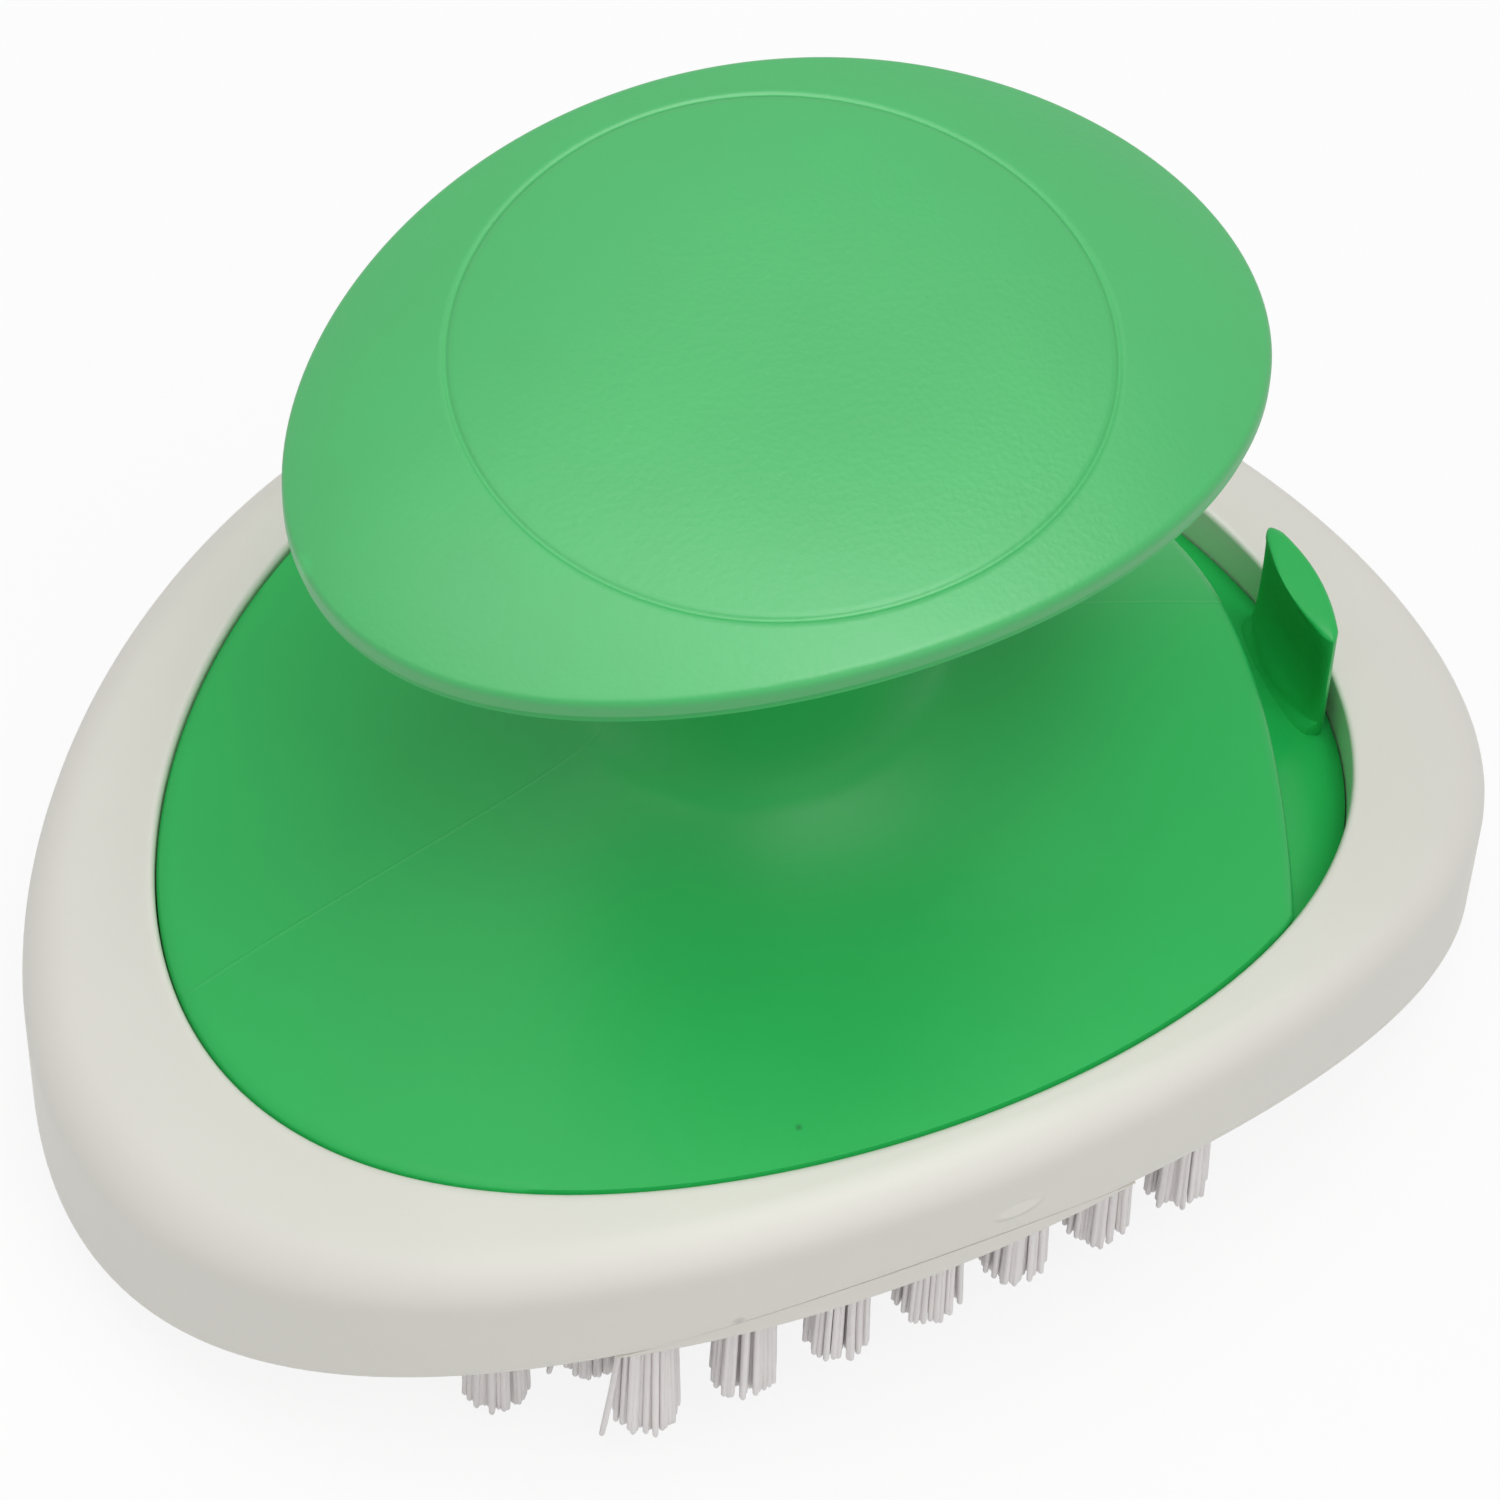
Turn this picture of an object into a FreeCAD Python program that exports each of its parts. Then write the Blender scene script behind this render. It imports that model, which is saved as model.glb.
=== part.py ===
import FreeCAD, Part
import math
import os
from FreeCAD import Vector

# Palm-held vegetable brush, millimetres. X runs along the brush, +X to its latch end, +Z up.
# The origin is under the middle of the base, in the plane of the lowest bristle tips. The solids are
# drawn about the neck's axis, which stands a little behind that middle, and moved when they are exported.

# Base outline, seen from above: an egg that narrows towards +X
base_half_length = 49.4
base_half_width = 35.5
base_taper = 0.097
base_centre = 0.9

# Frame ring round the base, arched along X so that its ends come down
side_height = 9.4
top_arch_radius = 85.5
under_arch_radius = 72.0
band_at_ends = 10.0
band_at_sides = 3.9
hole_taper = 0.03
frame_wall = 1.6
frame_top = 2.2
outer_round = 2.9
lower_round = 0.8
inner_round = 0.9

# Bristle plate that closes the frame from below, with a lip that shows at each side
plate_thickness = 4.0
plate_clearance = 0.15
seat_gap = 0.1
lip_height = 1.2
lip_sag = 0.8
lip_half_length = 17.0
lip_centre = -5.5
lip_recess = 0.12

# Tufts in rows that bend with the outline, from the middle row outwards:
# how many, the first one's x, the last one's x, and the row's way from the middle
row_plan = [
    (11, -31.5, 31.5, 0.0),
    (10, -28.3, 28.3, 4.85),
    (11, -31.5, 31.5, 9.7),
    (10, -28.3, 28.3, 14.5),
    (9, -25.2, 25.2, 19.4),
    (8, -26.9, 15.9, 24.6),
    (7, -19.2, 18.8, 29.7),
]
row_bend_length = 53.7
row_taper = 0.176
tuft_reach = 14.0
tuft_hole_depth = 3.4
tuft_hole_radius = 2.0
tuft_clearance = 0.05
tuft_flare = 0.25
tuft_collar = 1.4
anchor_length = 4.6
anchor_height = 1.5
anchor_thickness = 0.4

# Skirt of the handle, a concave sweep from the frame's opening to the neck
skirt_clearance = 0.2
skirt_step = 0.4
skirt_wall = 2.2
skirt_flare = 2.4
peak_softness = 0.1
nose_rise = 4.0
nose_run = 24.0
nose_half_width = 20.0
cavity_height = 6.0

# Pocket behind the latch tab
crease_reach = 32.0
crease_radius = 52.0
pocket_depth = 4.2

# Neck and its bore
neck_half_length = 8.8
neck_half_width = 6.8
neck_bore_radius = 4.2

# Palm cap on its flange
cap_half_length = 30.1
cap_half_width = 22.95
cap_apex = 38.3
cap_rim = 36.6
cap_arch_radius = 97.5
cap_arch_centre = 4.1
cap_fullness = 3.5
cap_wall = 1.25
cap_edge_round = 0.8
flange_edge = 0.65
flange_wall = 1.6
flange_flare = 2.2
flange_recess = 0.15
flange_land = 3.0
ring_radius = 19.7
ring_width = 0.35
ring_depth = 0.2
peg_length = 12.0
peg_clearance = 0.08

# Latch tab with its round foot, and the catch that holds the handle in the frame
tab_half_width = 5.0
tab_edge = 0.8
tab_bulge = 0.9
tab_belly = 1.1
tab_gap = 0.5
tab_rise = 7.0
foot_radius = 1.4
foot_setback = 1.1
foot_lift = -0.3
foot_clearance = 0.08
foot_end_gap = 0.3
scoop_radius = 8.0
scoop_depth = 1.7
catch_height = 1.5
catch_reach = 0.35
catch_half_width = 3.0
catch_thickness = 0.8
catch_clearance = 0.7

# Tongue that hooks the other end of the handle under the frame
tongue_half_width = 5.0
tongue_thickness = 1.8
tongue_reach = 1.6
tongue_drop = 4.0

outline_points = 28
field_steps = 36
margin = 1.0
tall = 120.0


def arch_drop(x, radius):
    """How far an arch of this radius has come down at a distance from its crown."""
    return radius - math.sqrt(radius * radius - x * x)


def egg_half_width(x, half_length, half_width, taper):
    share = x / half_length
    return half_width * math.sqrt(max(0.0, 1 - share * share)) * (1 - taper * share)


def tuft_rows():
    """The tufts' centres, one list for each row, from -Y to +Y."""
    last = len(row_plan) - 1
    rows = []
    for index in range(-last, last + 1):
        count, first, end, way = row_plan[abs(index)]
        step = (end - first) / (count - 1)
        places = [first + step * number for number in range(count)]
        side = math.copysign(way, index)
        rows.append([(x, egg_half_width(x, row_bend_length, side, row_taper)) for x in places])
    return rows


rows = tuft_rows()
farthest_tuft = max(abs(x) for row in rows for x, y in row)
under_crown = tuft_reach + arch_drop(farthest_tuft, under_arch_radius)
frame_crown = under_crown + side_height
hole_half_length = base_half_length - band_at_ends
hole_half_width = base_half_width - band_at_sides
skirt_half_length = hole_half_length - skirt_clearance
skirt_half_width = hole_half_width - skirt_clearance
plate_crown = under_crown + plate_thickness
tab_outer = hole_half_length - tab_gap
tab_shoulder = tab_outer - tab_bulge
tab_front = tab_shoulder - tab_edge - tab_belly
pivot_x = tab_shoulder - foot_setback
pivot_z = frame_crown - arch_drop(pivot_x, top_arch_radius) - pocket_depth + foot_lift


def egg_prism(inset):
    """The base outline, brought in by an inset and drawn out along Z."""
    prism = outline_prism(base_half_length - inset, base_half_width - inset, base_taper)
    prism.translate(Vector(base_centre, 0, 0))
    return prism


def outline_prism(half_length, half_width, taper):
    points = []
    for step in range(outline_points):
        turn = 2 * math.pi * step / outline_points
        y = half_width * math.sin(turn) * (1 - taper * math.cos(turn))
        points.append(Vector(half_length * math.cos(turn), y, -tall))
    curve = Part.BSplineCurve()
    curve.interpolate(points, PeriodicFlag=True)
    face = Part.Face(Part.Wire(curve.toShape()))
    return face.extrude(Vector(0, 0, 2 * tall))


def hole_prism(inset):
    return outline_prism(hole_half_length - inset, hole_half_width - inset, hole_taper)


def below_arch(crown, radius):
    """Everything under an arch along X, as wide and long as the brush."""
    reach = base_half_length + margin
    left = Vector(-reach, 0, crown - arch_drop(reach, radius))
    right = Vector(reach, 0, crown - arch_drop(reach, radius))
    arc = Part.Arc(left, Vector(0, 0, crown), right).toShape()
    floor_right = Vector(reach, 0, -tall)
    floor_left = Vector(-reach, 0, -tall)
    lines = [Part.makeLine(right, floor_right), Part.makeLine(floor_right, floor_left)]
    wire = Part.Wire([arc] + lines + [Part.makeLine(floor_left, left)])
    half = base_half_width + margin
    face = Part.Face(wire)
    face.translate(Vector(0, -half, 0))
    return face.extrude(Vector(0, 2 * half, 0))


def below_under(raise_by=0.0):
    """Everything under the base's arched underside, or under an arch parallel to it."""
    return below_arch(under_crown + raise_by, under_arch_radius + raise_by)


def below_top(lower_by=0.0):
    return below_arch(frame_crown - lower_by, top_arch_radius - lower_by)


def below_field(height, half_x, half_y):
    """Everything under a smooth surface that is given by its height."""
    def place(step, half):
        return half * (2 * step / field_steps - 1)

    steps = range(field_steps + 1)
    grid = [[Vector(place(i, half_x), place(j, half_y), 0) for j in steps] for i in steps]
    for line in grid:
        for point in line:
            point.z = height(point.x, point.y)
    surface = Part.BSplineSurface()
    surface.interpolate(grid)
    return surface.toShape().extrude(Vector(0, 0, -tall))


def closed_edges(shape, at_top):
    """The closed edges of the shape's top or of its underside."""
    rings = [edge for edge in shape.Edges if edge.isClosed() and len(edge.Vertexes) == 1]
    middle = (shape.BoundBox.ZMax + shape.BoundBox.ZMin) / 2
    centres = [(edge.BoundBox.ZMax + edge.BoundBox.ZMin) / 2 for edge in rings]
    return [edge for edge, z in zip(rings, centres) if (z > middle) == at_top]


def flare(x, y, half_length, half_width):
    """1 / distance, from 0 at an oval's edge to a soft peak at its middle."""
    square = (x / half_length) ** 2 + (y / half_width) ** 2
    soft = peak_softness ** 2
    return 1 / math.sqrt(square + soft) - 1 / math.sqrt(1 + soft)


def skirt_height(x, y):
    sweep = skirt_flare * flare(x, y, skirt_half_length, skirt_half_width)
    along = min(1.0, max(0.0, x / nose_run))
    across = max(0.0, 1 - abs(y) / nose_half_width)
    nose = nose_rise * along ** 2 * (3 - 2 * along) * across ** 2 * (3 - 2 * across)
    return frame_crown - arch_drop(x, top_arch_radius) - skirt_step + sweep + nose


def cap_rim_height(x):
    return frame_crown + cap_rim - (x - cap_arch_centre) ** 2 / (2 * cap_arch_radius)


def cap_height(x, y):
    share = math.hypot(x / cap_half_length, y / cap_half_width)
    apex = frame_crown + cap_apex
    if share == 0:
        return apex
    return apex - (apex - cap_rim_height(x / share)) * share ** cap_fullness


def flange_under(x, y):
    edge = cap_rim_height(x) - cap_wall - flange_edge
    return edge - flange_flare * flare(x, y, cap_half_length, cap_half_width)


def below_skirt(lower_by=0.0):
    half_x = skirt_half_length + margin
    half_y = skirt_half_width + margin
    return below_field(lambda x, y: skirt_height(x, y) - lower_by, half_x, half_y)


def below_cap(lower_by=0.0):
    half_x = cap_half_length + margin
    half_y = cap_half_width + margin
    return below_field(lambda x, y: cap_height(x, y) - lower_by, half_x, half_y)


def below_flange(raise_by=0.0):
    half_x = cap_half_length + margin
    half_y = cap_half_width + margin
    return below_field(lambda x, y: flange_under(x, y) + raise_by, half_x, half_y)


def cap_prism(inset):
    return outline_prism(cap_half_length - inset, cap_half_width - inset, 0.0)


def under_height(x):
    return under_crown - arch_drop(x, under_arch_radius)


def lip_region(rise, grow=0.0):
    """What lies under a shallow arc at the middle of the sides, between two points of the frame's edge."""
    half = lip_half_length + grow
    left = Vector(lip_centre - half, 0, under_height(lip_centre - half))
    right = Vector(lip_centre + half, 0, under_height(lip_centre + half))
    top = Vector(lip_centre, 0, under_height(lip_centre) + rise + grow)
    arc = Part.Arc(left, top, right).toShape()
    down = Vector(0, 0, -tuft_reach)
    lines = [Part.makeLine(right, right + down), Part.makeLine(right + down, left + down)]
    face = Part.Face(Part.Wire([arc] + lines + [Part.makeLine(left + down, left)]))
    half_y = base_half_width + margin
    face.translate(Vector(0, -half_y, 0))
    return face.extrude(Vector(0, 2 * half_y, 0))


def frame_ring():
    """The white ring: a channel that is open below, round the opening for the handle."""
    body = egg_prism(0).common(below_top()).cut(below_under())
    body = body.makeFillet(outer_round, closed_edges(body, True))
    body = body.makeFillet(lower_round, closed_edges(body, False))
    channel = below_top(frame_top).cut(hole_prism(-frame_wall))
    seat = below_under(plate_thickness + seat_gap)
    inside = channel.fuse(seat).common(egg_prism(frame_wall))
    body = body.cut(hole_prism(0))
    edges = closed_edges(body, True)
    body = body.makeFillet(inner_round, [min(edges, key=lambda edge: edge.Length)])
    body = body.cut(inside).cut(lip_region(lip_height, plate_clearance))
    return body.cut(catch_box(catch_clearance)).cut(tongue_box(skirt_clearance))


def bristle_plate():
    """The arched plate with a blind hole for each tuft and a slot for each anchor."""
    inset = frame_wall + plate_clearance
    whole = egg_prism(inset).common(below_under(plate_thickness)).cut(below_under())
    rim = egg_prism(lip_recess).cut(egg_prism(inset + margin))
    plate = whole.fuse(rim.common(lip_region(lip_height)).cut(lip_region(-lip_sag)))
    holes = [tuft_hole(x, y) for row in rows for x, y in row]
    slots = [anchor(x, y) for row in rows for x, y in row]
    return plate.cut(holes + slots).removeSplitter()


def root_height(x):
    """The bottom of the blind hole of a tuft at this place along the plate."""
    return under_height(x) + tuft_hole_depth


def tuft_hole(x, y):
    depth = tuft_hole_depth + tuft_collar
    return Part.makeCylinder(tuft_hole_radius, depth, Vector(x, y, root_height(x) - depth))


def anchor(x, y):
    """The flat wire that holds a tuft's fold, pressed into the wall of its hole."""
    corner = Vector(x - anchor_length / 2, y - anchor_thickness / 2, root_height(x) - anchor_height)
    return Part.makeBox(anchor_length, anchor_thickness, anchor_height, corner)


def tuft(x, y):
    """A tuft's outer shape: a round root in the hole, and a bundle that spreads to its tips."""
    radius = tuft_hole_radius - tuft_clearance
    straight = tuft_hole_depth - anchor_height + tuft_collar
    spread = tuft_reach - tuft_collar
    top = root_height(x) - anchor_height
    root = Part.makeCylinder(radius, straight, Vector(x, y, top - straight))
    tip = Vector(x, y, top - straight - spread)
    return root.fuse(Part.makeCone(radius + tuft_flare, radius, spread, tip)).removeSplitter()


def pocket():
    """The space behind the latch tab, over its floor."""
    reach = base_half_length + margin
    block = Part.makeBox(reach, 2 * reach, tall, Vector(0, -reach, 0))
    round_wall = Part.makeCylinder(crease_radius, tall, Vector(crease_reach - crease_radius, 0, 0))
    return block.cut(round_wall).cut(below_top(pocket_depth))


def neck():
    ellipse = Part.Ellipse(Vector(0, 0, 0), neck_half_length, neck_half_width).toShape()
    face = Part.Face(Part.Wire(ellipse))
    face.translate(Vector(0, 0, plate_crown))
    column = face.extrude(Vector(0, 0, tall))
    return column.common(below_cap(cap_wall + flange_edge))


def skirt():
    """The shell that fills the frame's opening, with the pocket at its latch end."""
    shell = below_skirt().common(hole_prism(skirt_clearance)).cut(pocket())
    shell = shell.cut(below_under(plate_thickness + seat_gap))
    inner = below_skirt(skirt_wall).common(hole_prism(skirt_clearance + skirt_wall))
    wall = crease_radius - skirt_wall
    inner = inner.common(Part.makeCylinder(wall, tall, Vector(crease_reach - crease_radius, 0, 0)))
    ceiling = frame_crown + cavity_height
    reach = base_half_length
    inner = inner.common(Part.makeBox(2 * reach, 2 * reach, ceiling, Vector(-reach, -reach, 0)))
    return shell.cut(inner)


def flange():
    """The dish under the palm cap, with a land at its edge that the cap sits on."""
    dish = below_cap(cap_wall + seat_gap).common(cap_prism(flange_recess)).cut(below_flange())
    hollow = below_cap(cap_wall + seat_gap).common(cap_prism(flange_land))
    return dish.cut(hollow.cut(below_flange(flange_wall)))


def handle_body():
    """Skirt, neck and flange, moulded in one, with the foot's groove and the tongue."""
    body = skirt().fuse([neck(), flange(), tongue_box(0)])
    bore = Part.makeCylinder(neck_bore_radius, tall, Vector(0, 0, 0))
    groove_half = tab_half_width + foot_end_gap
    return body.cut(bore).cut(foot(foot_radius + foot_clearance, groove_half)).removeSplitter()


def palm_cap():
    """The domed top with its ring line, and the peg that enters the neck."""
    cap = below_cap().common(cap_prism(0))
    cap = cap.makeFillet(cap_edge_round, closed_edges(cap, True)).cut(below_cap(cap_wall))
    outside = Part.makeCylinder(ring_radius + ring_width / 2, tall)
    inside = Part.makeCylinder(ring_radius - ring_width / 2, tall)
    groove = outside.cut(inside).cut(below_cap(ring_depth))
    low = frame_crown + cap_apex - cap_wall - peg_length
    peg = Part.makeCylinder(neck_bore_radius - peg_clearance, tall, Vector(0, 0, low))
    return cap.cut(groove).fuse(peg.common(below_cap(cap_wall / 2))).removeSplitter()


def foot(radius, half_width):
    """A round bar along the latch's hinge line."""
    start = Vector(pivot_x, -half_width, pivot_z)
    return Part.makeCylinder(radius, 2 * half_width, start, Vector(0, 1, 0))


def catch_box(clearance):
    """The catch on the tab, or with a clearance the recess that it enters."""
    half = catch_half_width + clearance
    low = pivot_z + catch_height - catch_thickness / 2 - clearance
    reach = hole_half_length + catch_reach + clearance - pivot_x
    return Part.makeBox(reach, 2 * half, catch_thickness + 2 * clearance, Vector(pivot_x, -half, low))


def tongue_box(clearance):
    half = tongue_half_width + clearance
    start = skirt_half_length - skirt_wall
    long = skirt_wall + skirt_clearance + tongue_reach + clearance
    top = frame_crown - arch_drop(skirt_half_length, top_arch_radius) - tongue_drop + clearance
    corner = Vector(-start - long, -half, top - tongue_thickness - 2 * clearance)
    return Part.makeBox(long, 2 * half, tongue_thickness + 2 * clearance, corner)


def latch_tab():
    """The sprung tab: a lens seen from above, scooped towards the neck, on a round foot."""
    half = tab_half_width
    top = frame_crown - arch_drop(tab_outer, top_arch_radius) + tab_rise
    back = tab_shoulder - tab_edge
    corners = [Vector(tab_shoulder, half, pivot_z), Vector(tab_shoulder, -half, pivot_z)]
    corners += [Vector(back, -half, pivot_z), Vector(back, half, pivot_z)]
    outer_arc = Part.Arc(corners[0], Vector(tab_outer, 0, pivot_z), corners[1]).toShape()
    inner_arc = Part.Arc(corners[2], Vector(tab_front, 0, pivot_z), corners[3]).toShape()
    ends = [Part.makeLine(corners[1], corners[2]), Part.makeLine(corners[3], corners[0])]
    outline = Part.Wire([outer_arc, ends[0], inner_arc, ends[1]])
    column = Part.Face(outline).extrude(Vector(0, 0, top - pivot_z))
    middle = (pivot_z + foot_radius + top) / 2
    scoop = Part.makeSphere(scoop_radius, Vector(tab_front + scoop_depth - scoop_radius, 0, middle))
    tab = column.cut(scoop).fuse([foot(foot_radius, half), catch_box(0)])
    return tab.removeSplitter()


def export(name, shape):
    os.makedirs("parts", exist_ok=True)
    shape.translate(Vector(-base_centre, 0, 0))
    shape.exportStep("parts/" + name + ".step")
    print(name, len(shape.Solids), "solids", round(shape.Volume, 1), "mm3", shape.isValid())


export("frame_ring", frame_ring())
export("bristle_plate", bristle_plate())
export("handle_body", handle_body())
export("palm_cap", palm_cap())
export("latch_tab", latch_tab())
for number, row in enumerate(rows, start=1):
    export("tuft_row_%02d" % number, Part.makeCompound([tuft(x, y) for x, y in row]))
export("tuft_anchors", Part.makeCompound([anchor(x, y) for row in rows for x, y in row]))
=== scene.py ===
import math
import bmesh
import bpy
from mathutils import Matrix, Vector


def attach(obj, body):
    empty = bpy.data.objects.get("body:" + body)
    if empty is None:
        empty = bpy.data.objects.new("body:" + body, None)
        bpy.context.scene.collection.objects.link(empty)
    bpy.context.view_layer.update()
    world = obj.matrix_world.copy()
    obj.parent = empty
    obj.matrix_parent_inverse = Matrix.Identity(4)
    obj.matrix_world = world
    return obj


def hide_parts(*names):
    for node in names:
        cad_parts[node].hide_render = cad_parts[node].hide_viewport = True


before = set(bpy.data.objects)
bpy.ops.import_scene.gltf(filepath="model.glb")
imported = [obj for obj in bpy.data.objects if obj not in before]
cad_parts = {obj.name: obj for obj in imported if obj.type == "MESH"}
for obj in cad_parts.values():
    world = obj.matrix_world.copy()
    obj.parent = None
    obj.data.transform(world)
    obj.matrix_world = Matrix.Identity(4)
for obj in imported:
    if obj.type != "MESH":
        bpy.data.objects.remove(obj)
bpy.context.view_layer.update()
scene = bpy.context.scene

# Sizes of the brush in millimetres. X runs to the latch end, Z up from the tips of the bristles.
# The skins follow the solids, but the skirt's gap, the lip's seam and the frame's inner round are
# finer, and the latch's foot tapers.
MM = 0.001

# Outlines seen from above: half length, half width, narrowing towards the latch end
BASE = (49.4, 35.5, 0.097)
HOLE = (39.4, 31.6, 0.03)
CAP = (30.1, 22.95, 0.0)
# The shapes are drawn about the neck's axis, and the base's middle lies this far from it
BASE_CENTRE = 0.9

# Frame ring, and the lip of the plate that shows in its lower edge
SIDE_HEIGHT = 9.4
TOP_ARCH = 85.5
UNDER_ARCH = 72.0
FRAME_WALL = 1.6
FRAME_TOP = 2.2
OUTER_ROUND = 2.9
LOWER_ROUND = 0.8
INNER_ROUND = 0.6
PLATE_THICKNESS = 4.0
LIP_HEIGHT = 1.2
LIP_HALF_LENGTH = 17.0
LIP_CENTRE = -5.5
LIP_SEAM = 0.12
LIP_ROUND = 0.3
SEAT_GAP = 0.1

# Rows of tufts from the middle one outwards: how many, first x, last x, distance from the middle
ROW_PLAN = [
    (11, -31.5, 31.5, 0.0),
    (10, -28.3, 28.3, 4.85),
    (11, -31.5, 31.5, 9.7),
    (10, -28.3, 28.3, 14.5),
    (9, -25.2, 25.2, 19.4),
    (8, -26.9, 15.9, 24.6),
    (7, -19.2, 18.8, 29.7),
]
ROW_BEND_LENGTH = 53.7
ROW_TAPER = 0.176
TUFT_REACH = 14.0
ROOT_DEPTH = 1.6
TUFT_RADIUS = 1.7
FILAMENT_RADIUS = 0.23
FILAMENTS = 110
FILAMENT_POINTS = 6
FILAMENT_SIDES = 6
# Each filament turns by this angle from the one before, which fills a tuft evenly
GOLDEN_TURN = 2.39996
TURN_JITTER = 0.25
# Slopes of the filaments: of the outermost ones, of a stray one, and by chance
TUFT_SPREAD = 0.025
STRAY_LEAN = 0.1
SWAY = 0.006
# A filament strays if its chance is above this one and it stands beyond this share of the radius
STRAY_CHANCE = 0.985
STRAY_FROM = 0.8
# The shortest filament, as a share of the full length
SHORTEST = 0.972
# How closely the points of a filament crowd towards its tip
TIP_CROWDING = 2.6

# Handle: skirt, nose, the pocket of the latch, and the neck as shares of the hole and of the cap
SKIRT_CLEARANCE = 0.1
SKIRT_STEP = 0.4
SKIRT_FLARE = 2.4
PEAK_SOFTNESS = 0.1
NOSE_RISE = 4.0
NOSE_RUN = 24.0
NOSE_HALF_WIDTH = 20.0
CREASE_REACH = 32.0
CREASE_RADIUS = 52.0
POCKET_DEPTH = 4.2
POCKET_FILLET = 0.5
SKIRT_EDGE = 0.25
NECK_LOW = 0.30
NECK_HIGH = 0.38
NECK_PULL = 4.2
NECK_STEP = 0.004

# Cap and the flange under it, with heights above the frame's crown
CAP_APEX = 38.3
CAP_RIM = 36.6
CAP_ARCH = 97.5
CAP_ARCH_CENTRE = 4.1
CAP_FULLNESS = 3.5
CAP_WALL = 1.25
CAP_EDGE_ROUND = 0.8
CAP_LOWER_EDGE = 0.1
CAP_MIDDLE = 0.8
SLOPE_STEP = 0.02
FLANGE_EDGE = 0.65
FLANGE_BEVEL = 0.12
FLANGE_FLARE = 2.2
FLANGE_RECESS = 0.15
RING_RADIUS = 19.7
RING_WIDTH = 0.35
RING_DEPTH = 0.2
# The ring line's groove: half widths from its middle, share of its depth
RING_PROFILE = ((-1.3, 0.0), (-0.8, 0.3), (-0.3, 0.6), (0.3, 0.6), (0.8, 0.3), (1.3, 0.0))

# Latch tab and its round foot
TAB_HALF_WIDTH = 5.0
TAB_EDGE = 0.8
TAB_BULGE = 0.9
TAB_BELLY = 1.1
TAB_GAP = 0.5
TAB_RISE = 7.0
FOOT_RADIUS = 1.4
FOOT_SETBACK = 1.1
FOOT_LIFT = -0.3
FOOT_FILLET = 0.9
SCOOP_DEPTH = 1.7
SCOOP_START = 0.16
SCOOP_SHAPE = 0.7
TAB_TOP_ROUND = 0.4
TAB_TOP_INSET = 0.3
TAB_TOP_SHARE = 0.62
TAB_STEPS = 24

# Points round a skin, the angle from which an edge stays sharp, and the distance of doubled points
COLUMNS = 240
SHARP_ANGLE = 0.7
WELD = 1e-6

# Colours as a screen shows them, and the mould's marks in millimetres
CAP_GREEN = (44, 170, 86)
BODY_GREEN = (32, 178, 84)
FRAME_WHITE = (230, 227, 219)
NYLON_WHITE = (246, 242, 241)
STEEL_DARK = (150, 150, 150)
STEEL_LIGHT = (190, 190, 188)
SEAM_WIDTH = 0.15
GATE_PLACE = (1.8, 24.6)
GATE_SIZE = (1.8, 0.85)
# The pin dimple on the front wall: pressed in by a bump, and darkened with painted shade
PIN_DIMPLE_AND_SHADE = (-16.2, -34.6, 20.9)
DARK_SPECK = (-10.0, -28.2, 29.95)
RIM_SCUFF = (-30.9, -0.4, 60.9)

# Camera: azimuth, elevation and roll in degrees, the point of the crown that it looks at in
# millimetres from the neck's axis, its distance in metres
CAMERA_TURN = (-24.0, 53.91, 2.61)
CAMERA_AIM = (-1.55, -1.45)
CAMERA_DISTANCE = 0.4084
CAMERA_LENS = 156.0
CAMERA_SENSOR = 36.0

# Studio in metres: name, place, size and watts of each lamp
LAMPS = [
    ("key_lamp", (-0.47, 0.0, 0.92), 1.1, 4.3),
    ("top_lamp", (0.2, 0.12, 1.0), 0.5, 2.1),
    ("fill_lamp", (0.16, -0.4, 0.93), 0.6, 3.9),
    ("front_lamp", (0.1, -0.95, 0.2), 0.8, 0.8),
]
LAMP_AIM = (0.0, 0.0, 0.035)
SKY_LIGHT = 0.2
FLOOR_HALF = 3.0
FLOOR_GLOW = 0.88
FLOOR_DARK = (0.86, 0.86, 0.86, 1)
FLOOR_LIGHT = (0.88, 0.88, 0.88, 1)
WHITE = (1, 1, 1, 1)


def arch_drop(x, radius):
    """How far an arch has come down from its crown."""
    return radius - math.sqrt(radius * radius - x * x)


def spread(start, end, count):
    """Evenly spaced values from a start to an end, both included."""
    return [start + (end - start) * step / (count - 1) for step in range(count)]


def egg(shape, turn, scale=1.0, inset=0.0):
    """A point of an egg outline, seen from above."""
    length, width, taper = shape
    across = (width - inset) * math.sin(turn) * (1 - taper * math.cos(turn))
    return scale * (length - inset) * math.cos(turn), scale * across


def tuft_rows():
    """The tufts' centres, one list for each row, from -Y to +Y."""
    last = len(ROW_PLAN) - 1
    rows = []
    for index in range(-last, last + 1):
        count, first, end, way = ROW_PLAN[abs(index)]
        row = []
        for x in spread(first, end, count):
            share = x / ROW_BEND_LENGTH
            bend = math.sqrt(1 - share * share) * (1 - ROW_TAPER * share)
            row.append((x, math.copysign(way, index) * bend))
        rows.append(row)
    return rows


rows = tuft_rows()
under_crown = TUFT_REACH + arch_drop(max(x for row in rows for x, y in row), UNDER_ARCH)
frame_crown = under_crown + SIDE_HEIGHT
tab_outer = HOLE[0] - TAB_GAP
tab_middle = tab_outer - TAB_BULGE - TAB_EDGE / 2
pivot_x = tab_outer - TAB_BULGE - FOOT_SETBACK
pivot_z = frame_crown - arch_drop(pivot_x, TOP_ARCH) - POCKET_DEPTH + FOOT_LIFT
tab_top = frame_crown - arch_drop(tab_outer, TOP_ARCH) + TAB_RISE


def top_arch(x):
    """The height of the frame's arched top."""
    return frame_crown - arch_drop(x, TOP_ARCH)


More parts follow.
